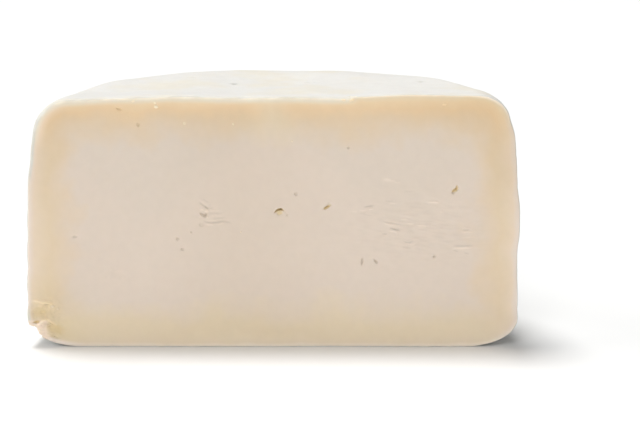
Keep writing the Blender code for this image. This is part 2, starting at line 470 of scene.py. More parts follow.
# Each pit: place across and up, half width, half height, depth, slant, bend and how tan inside.
# Inside, a high share gives tan and then dark painted shade, and a low one gives grey painted shade by
# depth.
PITS = (
    (0.0024, 0.0570, 0.0017, 0.00031, 0.0011, 14, -0.0007, 0.80),
    (0.0034, 0.0572, 0.0006, 0.00036, 0.0006, -8, 0.0, 0.95),
    (0.0028, 0.0558, 0.0013, 0.00090, 0.0004, 18, 0.0, 0.34),
    (0.0218, 0.0580, 0.0013, 0.00038, 0.0009, 30, 0.0, 0.66),
    (0.0226, 0.0588, 0.0010, 0.00060, 0.0003, 30, 0.0, 0.16),
    (0.0733, 0.0651, 0.0013, 0.00048, 0.0009, 34, 0.0, 0.70),
    (0.0741, 0.0662, 0.0004, 0.00090, 0.0006, -4, 0.0, 0.50),
    (0.0727, 0.0640, 0.0005, 0.00045, 0.0006, 0, 0.0, 0.0),
    (-0.0285, 0.0551, 0.0008, 0.00038, 0.0006, -34, 0.0, 0.05),
    (-0.0273, 0.0545, 0.0006, 0.00042, 0.0007, 5, 0.0, 0.05),
    (-0.0267, 0.0551, 0.0005, 0.00038, 0.0005, 58, 0.0, 0.0),
    (-0.0288, 0.0508, 0.0009, 0.00070, 0.0003, 0, 0.0, 0.05),
    (-0.0329, 0.0478, 0.0003, 0.00030, 0.0004, 0, 0.0, 0.0),
    (0.0094, 0.0635, 0.0006, 0.00060, 0.0006, 0, 0.0, 0.0),
    (0.0060, 0.0549, 0.0004, 0.00040, 0.0002, 0, 0.0, 0.0),
    (-0.0385, 0.0450, 0.0005, 0.00050, 0.0005, 0, 0.0, 0.0),
    (-0.0367, 0.0407, 0.0005, 0.00040, 0.0005, 20, 0.0, 0.0),
    (0.0362, 0.0357, 0.0004, 0.00130, 0.0007, -6, 0.0, 0.0),
    (0.0417, 0.0357, 0.0009, 0.00036, 0.0008, -50, 0.0, 0.0),
    (0.0654, 0.0377, 0.0005, 0.00040, 0.0006, 0, 0.0, 0.0),
    (-0.0610, 0.0980, 0.0010, 0.00036, 0.0005, -14, 0.0, 0.10),
    (-0.0536, 0.0916, 0.0005, 0.00060, 0.0005, 0, 0.0, 0.05),
    (-0.0799, 0.0459, 0.0008, 0.00050, 0.0004, 10, 0.0, 0.0),
    (0.0305, 0.0823, 0.0005, 0.00040, 0.0005, 0, 0.0, 0.0),
    (-0.0950, 0.0143, 0.0038, 0.00260, 0.0006, -4, 0.0, 0.32),
    (-0.0889, 0.0072, 0.0032, 0.00200, 0.0006, -16, 0.0, 0.48),
    (-0.0938, 0.0145, 0.0012, 0.00080, 0.0003, 0, 0.0, 0.42),
    (-0.0967, 0.0103, 0.0013, 0.00042, 0.0009, 8, 0.0, 0.50),
)
# Each fold: place across and up, half length, half width, height, slant and bend.
FOLDS = (
    (-0.0276, 0.0586, 0.0021, 0.00030, -0.00016, -34, 0.0),
    (-0.0266, 0.0579, 0.0008, 0.00028, -0.00014, -30, 0.0),
    (-0.0252, 0.0577, 0.0012, 0.00026, -0.00008, 2, 0.0),
    (-0.0280, 0.0600, 0.0020, 0.00030, 0.00008, -36, 0.0),
    (-0.0270, 0.0609, 0.0013, 0.00026, -0.00007, -38, 0.0),
    (-0.0284, 0.0572, 0.0007, 0.00044, 0.00024, -10, 0.0),
    (-0.0266, 0.0567, 0.0009, 0.00050, 0.00030, -6, 0.0),
    (-0.0292, 0.0544, 0.0004, 0.00036, 0.00014, 0, 0.0),
    (-0.0262, 0.0540, 0.0004, 0.00036, 0.00016, 0, 0.0),
    (-0.0240, 0.0518, 0.0036, 0.00036, -0.00016, 0, 0.0005),
    (-0.0190, 0.0522, 0.0022, 0.00036, -0.00010, -6, -0.0002),
    (-0.0253, 0.0509, 0.0014, 0.00042, 0.00018, 0, 0.0),
    (-0.0212, 0.0512, 0.0018, 0.00036, 0.00010, 6, 0.0),
    (-0.0230, 0.0567, 0.0022, 0.00030, 0.00010, 2, 0.0),
    (-0.0224, 0.0556, 0.0026, 0.00028, -0.00006, 3, 0.0),
    (-0.0226, 0.0545, 0.0024, 0.00028, 0.00009, 2, 0.0),
    (-0.0216, 0.0536, 0.0026, 0.00028, -0.00007, 4, 0.0),
    (-0.0246, 0.0528, 0.0016, 0.00028, 0.00008, 2, 0.0),
    (0.0387, 0.0584, 0.0018, 0.00030, -0.00018, 10, 0.0),
    (0.0365, 0.0568, 0.0014, 0.00032, 0.00014, 4, 0.0),
    (0.0397, 0.0573, 0.0010, 0.00028, 0.00016, 12, 0.0),
    (0.0329, 0.0564, 0.0010, 0.00032, 0.00012, 0, 0.0),
    (0.0382, 0.0549, 0.0020, 0.00028, -0.00006, -8, 0.0),
    (0.0362, 0.0556, 0.0014, 0.00026, -0.00006, 6, 0.0),
    (0.0470, 0.0691, 0.0024, 0.00060, 0.00013, -2, 0.0),
    (0.0464, 0.0697, 0.0012, 0.00040, 0.00009, 0, 0.0),
    (0.0503, 0.0683, 0.0014, 0.00034, 0.00008, -8, 0.0),
    (0.0470, 0.0606, 0.0016, 0.00028, -0.00008, 0, 0.0),
    (0.0484, 0.0596, 0.0014, 0.00030, 0.00014, 2, 0.0),
    (0.0482, 0.0516, 0.0034, 0.00022, -0.00014, -10, 0.0),
    (0.0470, 0.0510, 0.0020, 0.00026, 0.00014, -12, 0.0),
    (0.0493, 0.0490, 0.0021, 0.00026, -0.00022, -18, 0.0),
    (0.0487, 0.0481, 0.0013, 0.00030, 0.00016, -14, 0.0),
    (0.0452, 0.0471, 0.0010, 0.00026, -0.00010, 0, 0.0),
    (0.0458, 0.0463, 0.0010, 0.00026, 0.00008, -10, 0.0),
    (0.0649, 0.0602, 0.0022, 0.00044, 0.00020, 0, 0.0),
    (0.0682, 0.0561, 0.0008, 0.00036, 0.00010, 0, 0.0),
    (0.0531, 0.0532, 0.0013, 0.00036, 0.00016, 6, 0.0),
    (0.0603, 0.0506, 0.0020, 0.00030, 0.00016, -4, 0.0),
    (0.0556, 0.0514, 0.0014, 0.00026, 0.00010, 0, 0.0),
    (0.0630, 0.0514, 0.0016, 0.00024, -0.00005, 4, 0.0),
    (0.0550, 0.0646, 0.0018, 0.00024, -0.00008, 0, 0.0),
    (0.0549, 0.0436, 0.0019, 0.00028, -0.00015, 0, 0.0005),
    (0.0562, 0.0428, 0.0016, 0.00032, 0.00010, 2, 0.0004),
    (0.0540, 0.0415, 0.0022, 0.00028, -0.00006, -10, 0.0),
    (0.0767, 0.0413, 0.0036, 0.00038, 0.00020, 3, 0.0),
    (0.0770, 0.0422, 0.0034, 0.00028, -0.00013, 2, 0.0),
    (0.0788, 0.0479, 0.0022, 0.00032, 0.00016, 2, 0.0),
    (0.0780, 0.0488, 0.0014, 0.00028, -0.00012, 0, 0.0),
    (0.0795, 0.0457, 0.0024, 0.00028, 0.00009, 4, 0.0),
    (0.0741, 0.0401, 0.0010, 0.00028, -0.00010, -20, 0.0),
    (0.0785, 0.0391, 0.0010, 0.00028, -0.00010, -10, 0.0),
    (-0.0936, 0.0187, 0.0035, 0.00066, 0.00060, -8, 0.0),
    (-0.0912, 0.0183, 0.0010, 0.00050, 0.00024, -10, 0.0),
    (-0.0921, 0.0177, 0.0013, 0.00030, -0.00022, -6, 0.0),
    (-0.0949, 0.0170, 0.0010, 0.00060, 0.00016, 0, 0.0),
    (-0.0939, 0.0109, 0.0027, 0.00046, 0.00044, 26, -0.0006),
    (-0.0899, 0.0102, 0.0023, 0.00046, 0.00042, -34, -0.0004),
    (-0.0913, 0.0165, 0.0014, 0.00036, 0.00022, 84, 0.0),
)
# Each pinhole in the top: place across and back, radius, depth and how dark its painted shade is.
TOP_PINHOLES = (
    (-0.0166, -0.0076, 0.0009, 0.0008, 1.00),
    (0.0615, -0.0105, 0.0009, 0.0004, 0.45),
    (-0.0343, 0.0060, 0.0008, 0.0003, 0.15),
    (0.0145, -0.0075, 0.0010, 0.0003, 0.15),
    (0.0174, -0.0075, 0.0008, 0.0003, 0.10),
    (0.0310, 0.0205, 0.0009, 0.0004, 0.35),
)
# Each one in the side: turn round the axis in degrees, height, radius, depth and how dark its painted
# shade is.
SIDE_PINHOLES = (
    (24, 0.0710, 0.0009, 0.0005, 0.35),
    (51, 0.0375, 0.0008, 0.0005, 0.45),
    (67, 0.0790, 0.0010, 0.0006, 0.50),
    (98, 0.0260, 0.0011, 0.0006, 0.40),
    (117, 0.0655, 0.0008, 0.0005, 0.30),
    (133, 0.0430, 0.0009, 0.0005, 0.45),
    (158, 0.0700, 0.0010, 0.0006, 0.40),
)
# Where the net is finer: middle across and up, half width, half height and how many times halved.
FINE_ZONES = (
    (0.0560, 0.0500, 0.0270, 0.0170, 1),
    (0.0455, 0.0535, 0.0100, 0.0085, 2),
    (0.0475, 0.0688, 0.0040, 0.0020, 2),
    (0.0630, 0.0510, 0.0080, 0.0020, 2),
    (0.0649, 0.0602, 0.0030, 0.0010, 2),
    (0.0550, 0.0430, 0.0035, 0.0025, 2),
    (0.0780, 0.0440, 0.0055, 0.0065, 2),
    (-0.0245, 0.0560, 0.0080, 0.0075, 2),
    (-0.0650, 0.0300, 0.0065, 0.0055, 1),
    (-0.0930, 0.0110, 0.0080, 0.0110, 1),
    (-0.0930, 0.0115, 0.0070, 0.0090, 2),
)
# The curd's grain, coarse to fine: size and height.
CURD_GRAIN = ((0.0110, 0.00007), (0.0034, 0.00003), (0.0017, 0.00002))
# Where the knife dragged it, and how long and wide its lines are.
DRAG_ZONE = (0.060, 0.049, 0.024, 0.014)
DRAG_SIZE = (0.0036, 0.0010)
DRAG_SLOPE = 0.1
DRAG_SLICE = 0.5
DRAG_HEIGHT = 0.00014
# How much the drag and tear relief is also painted as light on its highs and shade in its lows.
DRAG_LIGHT_AND_SHADE = 0.5
# Where the curd is torn: middle across and up, half width, half height and how rough.
TORN_ZONES = (
    (-0.0265, 0.0560, 0.0055, 0.0055, 0.00013),
    (-0.0650, 0.0300, 0.0055, 0.0040, 0.00014),
    (0.0478, 0.0471, 0.0036, 0.0030, 0.00016),
    (0.0720, 0.0680, 0.0050, 0.0040, 0.00006),
    (-0.0930, 0.0100, 0.0070, 0.0100, 0.00034),
)
TORN_SIZES = ((0.0019, 0.6), (0.0009, 0.5))


def inside_zone(place, zone):
    """Whether a place on the cut is inside a zone's box."""
    middle, level, half_width, half_height, _ = zone
    beside = abs(place.x - middle) < half_width
    return beside and abs(place.z - level) < half_height and place.y < CUT_Y + FINE_BEHIND


def in_a_zone(face, zones):
    """Whether a face is inside any of the zones."""
    place = face.calc_center_median()
    return any(inside_zone(place, zone) for zone in zones)


def patch(across, up, zone):
    """How much each point of the cut is inside a soft-edged oval zone, from 0 to 1."""
    middle, level, half_width, half_height = zone[:4]
    return np.exp(-(((across - middle) / half_width) ** 2) - ((up - level) / half_height) ** 2)


def in_lines_of(across, up, middle, level, slant, half_length, bend):
    """Each point's place along a slanted, bent mark, in its half lengths, and across it."""
    turn = math.radians(slant)
    along = ((across - middle) * math.cos(turn) + (up - level) * math.sin(turn)) / half_length
    aside = (up - level) * math.cos(turn) - (across - middle) * math.sin(turn)
    return along, aside - bend * along**2


def grained(points):
    """How far the curd and the dragging knife leave each point of the cut standing proud."""
    across, up = points[:, 0], points[:, 2]
    length, width = DRAG_SIZE
    slices = np.full(len(up), DRAG_SLICE)
    lines = np.stack([across / length, slices, (up + DRAG_SLOPE * across) / width], axis=1)
    drag = DRAG_HEIGHT * noise_at(lines, 1) * patch(across, up, DRAG_ZONE)
    torn = sum(share * noise_at(points, size) for size, share in TORN_SIZES)
    torn *= sum(zone[4] * patch(across, up, zone) for zone in TORN_ZONES)
    return sum(height * noise_at(points, size) for size, height in CURD_GRAIN), drag + torn


def folded(points):
    """How far the folds stand proud at each point of the cut."""
    across, up = points[:, 0], points[:, 2]
    relief = np.zeros(len(points))
    wobble = FOLD_WOBBLE * noise_at(points, WOBBLE_SIZE)
    for middle, level, half_length, half_width, height, slant, bend in FOLDS:
        along, aside = in_lines_of(across, up, middle, level, slant, half_length, bend)
        relief += height * np.exp(-((aside / half_width + wobble) ** 2) - along**FLAT_TOPPED)
    return relief


def keep_on_points(mesh, name, values):
    """Keeps a number for each point of a mesh, for its material to read."""
    mesh.attributes.new(name, "FLOAT", "POINT").data.foreach_set("value", values.astype(np.float32))


def pinholes():
    """The pinholes' places on the rind, found from outside it, with their sizes and the darkness of
    their painted shade.
    """
    found = []
    for across, back, radius, depth, dark in TOP_PINHOLES:
        _, place, normal, _ = cheese.ray_cast((across, back, 2 * HEIGHT), (0, 0, -1))
        found.append((place, normal, radius, depth, dark))
    for turn, up, radius, depth, dark in SIDE_PINHOLES:
        out = Vector((math.cos(math.radians(turn)), math.sin(math.radians(turn)), 0))
        start = Vector((0, CUT_Y, up)) + 2 * RADIUS * out
        _, place, normal, _ = cheese.ray_cast(start, -out)
        found.append((place, normal, radius, depth, dark))
    return found


def at_a_pinhole(face):
    """Whether a face is close to a pinhole in the rind."""
    middle = face.calc_center_median()
    return any((middle - hole[0]).length < PINHOLE_REACH * hole[2] for hole in holes)


def to_be_finer(face, zones):
    """Whether a face is where the net of faces has to be finer."""
    return in_a_zone(face, zones) or at_a_pinhole(face)


def dig_and_mark(mesh):
    """Pushes in the pits and draws out the folds, and keeps where they are for the colours' painted
    shade and highlight.
    """
    points = coordinates(mesh)
    near = np.flatnonzero(points[:, 1] < CUT_Y + FINE_BEHIND)
    spots = points[near]
    across, up = spots[:, 0], spots[:, 2]
    fine, coarse = grained(spots)
    folds = folded(spots)
    inwards = -fine - coarse - folds
    # Painted light where the folds, drags and tears stand proud, and painted shade where they sink.
    lights_and_shades = (folds + DRAG_LIGHT_AND_SHADE * coarse) / FULL_FOLD
    tans_and_shades = np.zeros(len(near))
    uneven = PIT_UNEVEN * noise_at(spots, WOBBLE_SIZE)
    for middle, level, half_width, half_height, depth, slant, bend, tan_and_shade in PITS:
        along, aside = in_lines_of(across, up, middle, level, slant, half_width, bend)
        steepness = PIT_STEEPNESS if half_width < WIDE_PIT else WIDE_PIT_STEEPNESS
        share = 1 / (1 + (np.hypot(along, aside / half_height) * (1 + uneven)) ** steepness)
        inwards += depth * share
        # Inside the pits: how tan each point is, with dark painted shade at the top of that share, and
        # grey painted shade by depth where the pit is not tan.
        tans_and_shades = np.maximum(tans_and_shades, tan_and_shade * share)
        lights_and_shades -= (1 - tan_and_shade) * share * min(1.0, depth / PIT_SHADE_DEPTH)
    fade = np.exp(-(((spots[:, 1] - CUT_Y) / MARK_REACH) ** 2))
    points[near, 1] += fade * inwards
    hollow_tan_and_shade = np.zeros(len(points))
    hollow_tan_and_shade[near] = fade * tans_and_shades
    relief_light_and_shade = np.zeros(len(points))
    relief_light_and_shade[near] = fade * np.clip(lights_and_shades, -1, 1)
    for place, normal, radius, depth, dark in holes:
        far = np.linalg.norm(points - np.array(place), axis=1)
        share = 1 / (1 + (far / radius) ** PINHOLE_STEEPNESS)
        points -= depth * share[:, None] * np.array(normal)
        # Painted shade in and around each pinhole.
        hollow_tan_and_shade = np.maximum(hollow_tan_and_shade, dark * share * (far < PINHOLE_SHADE_REACH * radius))
    put_back(mesh, np.clip(points, cad_low, cad_high))
    keep_on_points(mesh, "hollow_tan_and_shade", hollow_tan_and_shade)
    keep_on_points(mesh, "relief_light_and_shade", relief_light_and_shade)


def break_up_wide_faces():
    """Cuts the faces that have many sides into threes, since only threes and fours divide well."""
    pick("FACE", lambda face: len(face.verts) > 4)
    bpy.ops.mesh.quads_convert_to_tris(ngon_method="BEAUTY")


pit_zones = []
for across, up, half_width, half_height, *_ in PITS:
    if half_width < WIDE_PIT:
        pit_zones.append((across, up, half_width + PIT_MARGIN, half_height + PIT_MARGIN, MOST_HALVINGS))
holes = pinholes()
begin(cheese)
break_up_wide_faces()
for halving in range(1, MOST_HALVINGS + 1):
    zones = [zone for zone in (*FINE_ZONES, *pit_zones) if zone[4] >= halving]
    pick("FACE", lambda face: face.calc_area() > SMALL_FACE and to_be_finer(face, zones))
    bpy.ops.mesh.subdivide(number_cuts=1)
    break_up_wide_faces()
done()
dig_and_mark(cheese.data)


# The colours. Inside, the paste is a warm, pale ivory. Towards the skin it has dried and ripened
# to a cream and honey band, strongest under the top. The skin itself is thin and nearly white,
# a cool ivory with faint stains, and both are a little mottled and finely grained.
MILLIMETRE = 0.001
SHARP_ANGLE = math.radians(38)
BAND_DEPTH = 25.0
# Each band's colours by the depth below the skin, in millimetres.
TOP_BAND = (
    (0.0, (236, 222, 201)),
    (1.2, (231, 213, 183)),
    (2.8, (232, 207, 170)),
    (5.5, (228, 200, 162)),
    (9.0, (222, 199, 168)),
    (14.0, (220, 201, 177)),
    (21.0, (218, 204, 189)),
)
SIDE_BAND = (
    (0.0, (232, 219, 208)),
    (1.3, (229, 214, 199)),
    (2.7, (228, 209, 186)),
    (5.0, (225, 206, 180)),
    (8.4, (223, 203, 174)),
    (14.0, (222, 203, 180)),
    (20.0, (220, 205, 190)),
)
# The band over the base: partly the paste's own paler colour, partly painted light that offsets the
# dimmer light near the table, with a painted highlight along the base edge.
LIGHTENED_BASE_BAND = (
    (0.0, (242, 231, 217)),
    (1.0, (237, 222, 202)),
    (1.8, (229, 212, 187)),
    (4.5, (227, 210, 182)),
    (9.0, (225, 208, 180)),
    (15.0, (223, 207, 186)),
    (21.0, (221, 206, 191)),
)
# Where the band under the top and the one over the base take over from the side's.
TOP_TAKES_OVER = (-0.018, 0.006)
BASE_TAKES_OVER = (-0.010, 0.012)
# The heart: a little left of the middle, fading to the sides and towards the skin.
HEART_TONE = (251, 250, 248)
HEART_MIDDLE = -0.012
HEART_ACROSS = (0.044, 0.000)
HEART_DEEP = (3.0, 8.0)
SHOULDER_WARM = (248, 245, 239)
CORNER_RIPE = (251, 250, 242)
SHOULDER_PALE = (239, 217, 194)
EDGE_PALE = (231, 221, 201)
# Painted shade for the rounded top edge, dimming the light it catches.
ROUNDED_EDGE_SHADE = (216, 210, 196)
RIM_PALE = (243, 229, 210)
LEFT_RIM_GREY = (211, 209, 200)
CORNER_PALE = (238, 224, 212)
FLAKE_PALE = (236, 217, 197)
# Each tint: how it is laid on, colour, strength, and from where to where it comes in, first
# across, then up, both in metres, then by the depth below the skin, in millimetres.
CLOUDY_TINTS = (
    ("MULTIPLY", SHOULDER_WARM, 0.6, (-0.065, -0.085), (0.050, 0.078), (16.0, 6.0)),
    ("MULTIPLY", SHOULDER_WARM, 1.0, (0.030, 0.095), (0.050, 0.078), (16.0, 6.0)),
)
TINTS = (
    ("MULTIPLY", CORNER_RIPE, 1.0, (-0.070, -0.090), (0.034, 0.018), (0.6, 2.0)),
    ("MIX", SHOULDER_PALE, 0.6, (-0.076, -0.090), (0.078, 0.090), (6.0, 2.0)),
    ("MIX", EDGE_PALE, 1.0, (0.036, 0.029), (0.076, 0.094), (3.8, 1.2)),
    # Painted shade on the rounded top edge.
    ("MIX", ROUNDED_EDGE_SHADE, 1.0, (0.036, 0.029), (0.076, 0.094), (1.2, 0.6)),
    ("MIX", RIM_PALE, 1.0, (0.078, 0.088), (0.090, 0.098), (1.6, 0.3)),
    ("MIX", LEFT_RIM_GREY, 1.0, (-0.084, -0.092), (0.066, 0.074), (2.0, 0.7)),
    ("MIX", LEFT_RIM_GREY, 1.0, (-0.094, -0.097), (0.018, 0.012), (2.0, 0.7)),
    ("MIX", CORNER_PALE, 1.0, (-0.072, -0.086), (0.012, 0.005), (2.6, 0.9)),
    ("MIX", FLAKE_PALE, 1.0, (-0.0912, -0.0930), (0.0118, 0.0102), (30.0, 25.0)),
)
# The walls of the holes: up to what share of tan and shade each colour comes in, and the colour: first
# a tan, then a dark painted shade.
HOLLOW_WALLS_AND_SHADE = (
    (0.45, (218, 196, 154)),
    (1.0, (168, 146, 108)),
)
# Painted highlight on ridges and crumbs, and painted shade in creases and grey pits.
RIDGE_HIGHLIGHT = 0.15
CREASE_SHADE = 0.26
CLOUD_SIZE = 0.016
CLOUD_DRIFT = (0.5, 0.75)
# The freckles' size, spread of tone and least tone, and the grain's size and strength.
PASTE_FRECKLES = (0.0035, 0.02, 0.99)
PASTE_GRAIN = (0.0009, 0.35)
PASTE_FINISH = {
    "Roughness": 0.55,
    "Specular IOR Level": 0.35,
    "Subsurface Weight": 0.12,
    "Subsurface Radius": (1.0, 0.62, 0.38),
    "Subsurface Scale": 0.002,
}
RIND_COLOUR = (217, 215, 210)
RIND_STAIN = (217, 212, 200)
# A cream tint with painted shade for the rind along the cut, dimming the light its rounded edge
# catches.
RIND_EDGE_TINT_AND_SHADE = (247, 245, 240)
RIND_EDGE_REACH = (0.0030, 0.0006)
PINHOLE_SHADE_COLOUR = (128, 121, 105)
STAIN_SIZE = 0.030
STAIN_COVER = (0.45, 1.0)
RIND_FRECKLES = (0.005, 0.03, 0.985)
RIND_GRAIN = (0.0012, 0.4)
RIND_FINISH = {
    "Roughness": 0.55,
    "Specular IOR Level": 0.15,
    "Subsurface Weight": 0.15,
    "Subsurface Radius": (1.0, 0.8, 0.6),
    "Subsurface Scale": 0.002,
}
MOTTLE_DETAIL = 3.0
MOTTLE_RANGE = (0.32, 0.68)
GRAIN_DETAIL = 4.0
CURD_SHARE = 0.5
GRAIN_HEIGHT = 0.0001


def shade(colour):
    """A colour as given, its parts from 0 to 255, as a material takes it."""
    parts = [part / 255 for part in colour]
    return (*[((part + 0.055) / 1.055) ** 2.4 for part in parts], 1.0)


def add(tree, kind, inputs, **settings):
    """Adds a node with its settings, and gives its inputs values or other nodes' outputs."""
    made = tree.nodes.new(kind)
    for name, value in settings.items():
        setattr(made, name, value)
    for slot, value in inputs.items():
        if isinstance(value, bpy.types.NodeSocket):
            tree.links.new(value, made.inputs[slot])
        else:
            made.inputs[slot].default_value = value
    return made.outputs


def calc(tree, operation, *values, clamp=False):
    """A sum or other calculation on numbers that change over the surface."""
    slots = dict(enumerate(values))
    return add(tree, "ShaderNodeMath", slots, operation=operation, use_clamp=clamp)[0]


def both(tree, first, second):
    """The share of the surface that two masks have in common."""
    return calc(tree, "MULTIPLY", first, second)


def blend(tree, share, first, second, way="MIX"):
    """One colour laid over another by a share."""
    slots = {0: share, 6: first, 7: second}
    return add(tree, "ShaderNodeMix", slots, data_type="RGBA", blend_type=way)[2]


def toned(tree, colour, tone):
    """A colour made darker or lighter by a tone that changes over the surface."""
    grey = add(tree, "ShaderNodeCombineColor", {0: tone, 1: tone, 2: tone})[0]
    return blend(tree, 1.0, colour, grey, "MULTIPLY")


def ramp(tree, depth, band):
    """A band's colours by the depth below the skin, in millimetres."""
    share = calc(tree, "DIVIDE", depth, BAND_DEPTH, clamp=True)
    outputs = add(tree, "ShaderNodeValToRGB", {0: share})
    stops = outputs[0].node.color_ramp.elements
    for number, (place, colour) in enumerate(band):
        stop = stops[number] if number < len(stops) else stops.new(place / BAND_DEPTH)
        stop.position = place / BAND_DEPTH
        stop.color = shade(colour)
    return outputs[0]


def step_up(tree, value, start, end):
    """0 below the start, 1 above the end, and smooth between them."""
    slots = {0: value, 1: start, 2: end, 3: 0.0, 4: 1.0}
    return add(tree, "ShaderNodeMapRange", slots, interpolation_type="SMOOTHSTEP")[0]


def new_group(name, inputs, outputs):
    """An empty node group with its named sockets, and its two ends."""
    group = bpy.data.node_groups.new(name, "ShaderNodeTree")
    for socket, kind in inputs:
        group.interface.new_socket(socket, in_out="INPUT", socket_type=kind)
    for socket, kind in outputs:
        group.interface.new_socket(socket, in_out="OUTPUT", socket_type=kind)
    start = group.nodes.new("NodeGroupInput")
    end = group.nodes.new("NodeGroupOutput")
    return group, start.outputs, end.inputs


def mottle_group():
    """Soft cloudy patches of a given size, from 0 to 1."""
    sockets = [("Place", "NodeSocketVector"), ("Size", "NodeSocketFloat")]
    group, given, wanted = new_group("curd mottle", sockets, [("Mask", "NodeSocketFloat")])
    scale = calc(group, "DIVIDE", 1.0, given["Size"])
    slots = {"Vector": given["Place"], "Scale": scale, "Detail": MOTTLE_DETAIL}
    clouds = add(group, "ShaderNodeTexNoise", slots)[0]
    least, most = MOTTLE_RANGE
    slots = {0: clouds, 1: least, 2: most, 3: 0.0, 4: 1.0}
    group.links.new(add(group, "ShaderNodeMapRange", slots)[0], wanted["Mask"])
    return group


def grain_group():
    """The fine, close grain of pressed curd, as a height from 0 to 1."""
    sockets = [("Place", "NodeSocketVector"), ("Size", "NodeSocketFloat")]
    group, given, wanted = new_group("curd grain", sockets, [("Height", "NodeSocketFloat")])
    scale = calc(group, "DIVIDE", 1.0, given["Size"])
    slots = {"Vector": given["Place"], "Scale": scale, "Detail": GRAIN_DETAIL}
    fine = add(group, "ShaderNodeTexNoise", slots)[0]
    slots = {"Vector": given["Place"], "Scale": scale}
    curds = add(group, "ShaderNodeTexVoronoi", slots, feature="SMOOTH_F1")[0]
    group.links.new(calc(group, "MULTIPLY_ADD", curds, CURD_SHARE, fine), wanted["Height"])
    return group


def grouped(tree, group, place, size):
    """One of the groups above, placed in a material with its own size in metres."""
    made = tree.nodes.new("ShaderNodeGroup")
    made.node_tree = group
    tree.links.new(place, made.inputs["Place"])
    made.inputs["Size"].default_value = size
    return made.outputs[0]


def tinted(tree, colour, axes, depth, tints):
    """A colour with the local tints laid over it, each where it belongs."""
    for way, tint, strength, across, up, below in tints:
        share = both(tree, step_up(tree, axes[0], *across), step_up(tree, axes[2], *up))
        share = both(tree, share, step_up(tree, depth, *below))
        colour = blend(tree, both(tree, share, strength), colour, shade(tint), way)
    return colour


def freckled(tree, colour, place, freckles):
    """A colour with faint freckles, given by their size, spread of tone and least tone."""
    size, spread, least = freckles
    tone = calc(tree, "MULTIPLY_ADD", grouped(tree, mottle, place, size), spread, least)
    return toned(tree, colour, tone)


def point_value(tree, name):
    """A number that the mesh keeps at its points."""
    return add(tree, "ShaderNodeAttribute", {}, attribute_name=name)["Fac"]


def finish_surface(material, colour, place, grain, values):
    """Gives a material its colour, its fine grain and its plain values."""
    tree = material.node_tree
    finish = tree.nodes["Principled BSDF"]
    size, strength = grain
    height = grouped(tree, grain_height, place, size)
    slots = {"Height": height, "Distance": GRAIN_HEIGHT, "Strength": strength}
    tree.links.new(colour, finish.inputs["Base Color"])
    tree.links.new(add(tree, "ShaderNodeBump", slots)[0], finish.inputs["Normal"])
    for name, value in values.items():
        finish.inputs[name].default_value = value


def paste_finish(material):
    """The cut paste: its colour follows the depth below the skin, turns tan with painted shade in the
    holes, and takes painted highlight on ridges and painted shade in creases.
    """
    material.use_nodes = True
    tree = material.node_tree
    place = add(tree, "ShaderNodeTexCoord", {})["Object"]
    axes = add(tree, "ShaderNodeSeparateXYZ", {0: place})
    depth = calc(tree, "DIVIDE", point_value(tree, "rind_depth"), MILLIMETRE)
    drift = calc(tree, "MULTIPLY_ADD", grouped(tree, mottle, place, CLOUD_SIZE), *CLOUD_DRIFT)
    deep = calc(tree, "MULTIPLY", depth, drift)
    near_side = calc(tree, "SUBTRACT", RADIUS, calc(tree, "ABSOLUTE", axes[0]))
    near_top = calc(tree, "SUBTRACT", HEIGHT, axes[2])
    top_share = step_up(tree, calc(tree, "SUBTRACT", near_side, near_top), *TOP_TAKES_OVER)
    base_share = step_up(tree, calc(tree, "SUBTRACT", near_side, axes[2]), *BASE_TAKES_OVER)
    colour = blend(tree, top_share, ramp(tree, deep, SIDE_BAND), ramp(tree, deep, TOP_BAND))
    # Over the base, the band carries painted light.
    colour = blend(tree, base_share, colour, ramp(tree, deep, LIGHTENED_BASE_BAND))
    colour = tinted(tree, colour, axes, deep, CLOUDY_TINTS)
    aside = calc(tree, "ABSOLUTE", calc(tree, "SUBTRACT", axes[0], HEART_MIDDLE))
    heart = both(tree, step_up(tree, aside, *HEART_ACROSS), step_up(tree, deep, *HEART_DEEP))
    colour = blend(tree, heart, colour, shade(HEART_TONE), "MULTIPLY")
    colour = tinted(tree, colour, axes, depth, TINTS)
    colour = freckled(tree, colour, place, PASTE_FRECKLES)
    # Painted highlight on ridges and crumbs, and painted shade in creases and grey pits.
    relief_light_and_shade = point_value(tree, "relief_light_and_shade")
    ridge_highlight = calc(tree, "MULTIPLY_ADD", calc(tree, "MAXIMUM", relief_light_and_shade, 0.0), RIDGE_HIGHLIGHT, 1.0)
    crease_shade = calc(tree, "MULTIPLY_ADD", calc(tree, "MINIMUM", relief_light_and_shade, 0.0), CREASE_SHADE, 1.0)
    colour = toned(tree, colour, calc(tree, "MULTIPLY", ridge_highlight, crease_shade))
    # Painted shade in the holes: tan, then dark.
    hollow_tan_and_shade = point_value(tree, "hollow_tan_and_shade")
    least = 0.0
    for most, tan_and_shade in HOLLOW_WALLS_AND_SHADE:
        colour = blend(tree, step_up(tree, hollow_tan_and_shade, least, most), colour, shade(tan_and_shade))
        least = most
    finish_surface(material, colour, place, PASTE_GRAIN, PASTE_FINISH)


